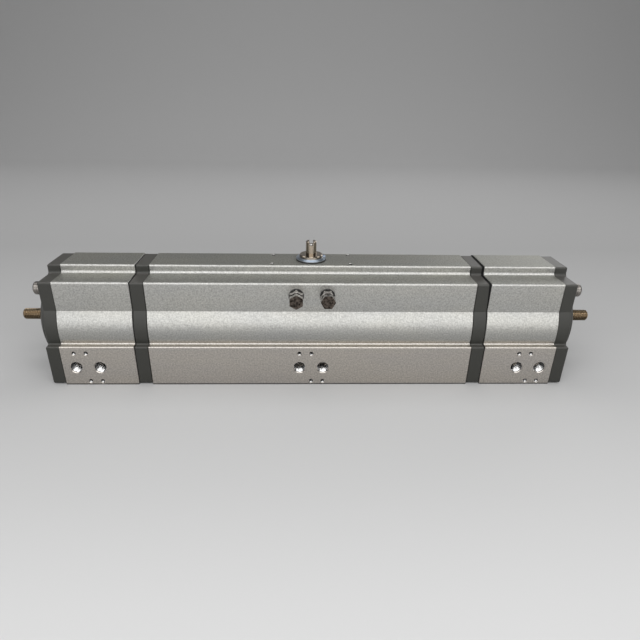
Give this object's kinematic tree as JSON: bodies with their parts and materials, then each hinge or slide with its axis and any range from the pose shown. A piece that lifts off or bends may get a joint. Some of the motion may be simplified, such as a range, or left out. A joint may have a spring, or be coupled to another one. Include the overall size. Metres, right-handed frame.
{
  "type": "rotary pneumatic actuator",
  "caption": "Double rack-and-pinion rotary pneumatic actuator with a middle stop: long ribbed cylinder, dark end caps, slotted output shaft on top.",
  "frame": {"origin": "where the pinion's axis meets the flat mounting face", "axes": "+X along the cylinders, -Y towards the air connection faces, +Z along the pinion, up"},
  "size_m": [0.6182, 0.1179, 0.137],
  "materials": {
    "silver_anodised": "blasted and anodised, satin",
    "charcoal_coat": "satin charcoal coating on cast aluminium",
    "gasket_rubber": "matt",
    "stainless": "bright",
    "bronzed_steel": "golden brown plated",
    "zinc_plate": "pale bluish zinc",
    "nickel_steel": "nickel plated, bright",
    "steel": "ground",
    "cast_aluminium": "as cast",
    "seal_rubber": "smooth",
    "black_plastic": "moulded",
    "bearing_plastic": "moulded"
  },
  "bodies": {
    "housing": {"cap_left": "charcoal_coat", "cap_right": "charcoal_coat", "centre_body": "silver_anodised", "end_nut_left": "zinc_plate", "end_nut_right": "zinc_plate", "end_seal_left": "seal_rubber", "end_seal_right": "seal_rubber", "end_stud_left": "bronzed_steel", "end_stud_right": "bronzed_steel", "gaskets_left": "gasket_rubber", "gaskets_right": "gasket_rubber", "passage_plugs": "steel", "pinion_bush_bottom": "bearing_plastic", "pinion_bush_top": "bearing_plastic", "plate_left": "charcoal_coat", "plate_right": "charcoal_coat", "rod_bush_left": "bearing_plastic", "rod_bush_right": "bearing_plastic", "rod_seal_left": "seal_rubber", "rod_seal_right": "seal_rubber", "side_body_left": "silver_anodised", "side_body_right": "silver_anodised", "steel_washer": "zinc_plate", "stop_nuts": "stainless", "stop_screws": "stainless", "stop_seals": "seal_rubber", "thrust_washer": "black_plastic", "tie_screws_left": "stainless", "tie_screws_right": "stainless", "tie_washers_left": "stainless", "tie_washers_right": "stainless"},
    "pinion_body": {"pinion": "nickel_steel", "stop_cam": "steel", "snap_ring": "zinc_plate", "pinion_seal_top": "seal_rubber", "pinion_seal_bottom": "seal_rubber"},
    "piston_body_left": {"piston_left": "cast_aluminium", "piston_guide_left": "bearing_plastic", "piston_seal_left": "seal_rubber", "rack_pad_left": "bearing_plastic"},
    "stop_piston_body_left": {"stop_piston_left": "cast_aluminium", "stop_guide_left": "bearing_plastic", "stop_seal_left": "seal_rubber", "stop_rod_left": "steel", "rod_nut_left": "zinc_plate"},
    "piston_body_right": {"piston_right": "cast_aluminium", "piston_guide_right": "bearing_plastic", "piston_seal_right": "seal_rubber", "rack_pad_right": "bearing_plastic"},
    "stop_piston_body_right": {"stop_piston_right": "cast_aluminium", "stop_guide_right": "bearing_plastic", "stop_seal_right": "seal_rubber", "stop_rod_right": "steel", "rod_nut_right": "zinc_plate"}
  },
  "joints": [
    {"name": "pinion_turn", "type": "hinge", "parent": "housing", "child": "pinion_body", "pos_m": [0, 0, 0.054], "axis": [0, 0, 1], "range_deg": [0, 180]},
    {"name": "piston_slide_left", "type": "slide", "parent": "housing", "child": "piston_body_left", "axis": [-1, 0, 0], "range_m": [0, 0.06283]},
    {"name": "stop_piston_slide_left", "type": "slide", "parent": "housing", "child": "stop_piston_body_left", "axis": [-1, 0, 0], "range_m": [0, 0.03142]},
    {"name": "piston_slide_right", "type": "slide", "parent": "housing", "child": "piston_body_right", "axis": [1, 0, 0], "range_m": [0, 0.06283]},
    {"name": "stop_piston_slide_right", "type": "slide", "parent": "housing", "child": "stop_piston_body_right", "axis": [1, 0, 0], "range_m": [0, 0.03142]}
  ],
  "couplings": [
    {"joint": "piston_slide_left", "follows": "pinion_turn", "m_per_rad": 0.02},
    {"joint": "stop_piston_slide_left", "follows": "pinion_turn", "m_per_rad": 0.01},
    {"joint": "piston_slide_right", "follows": "pinion_turn", "m_per_rad": 0.02},
    {"joint": "stop_piston_slide_right", "follows": "pinion_turn", "m_per_rad": 0.01}
  ]
}
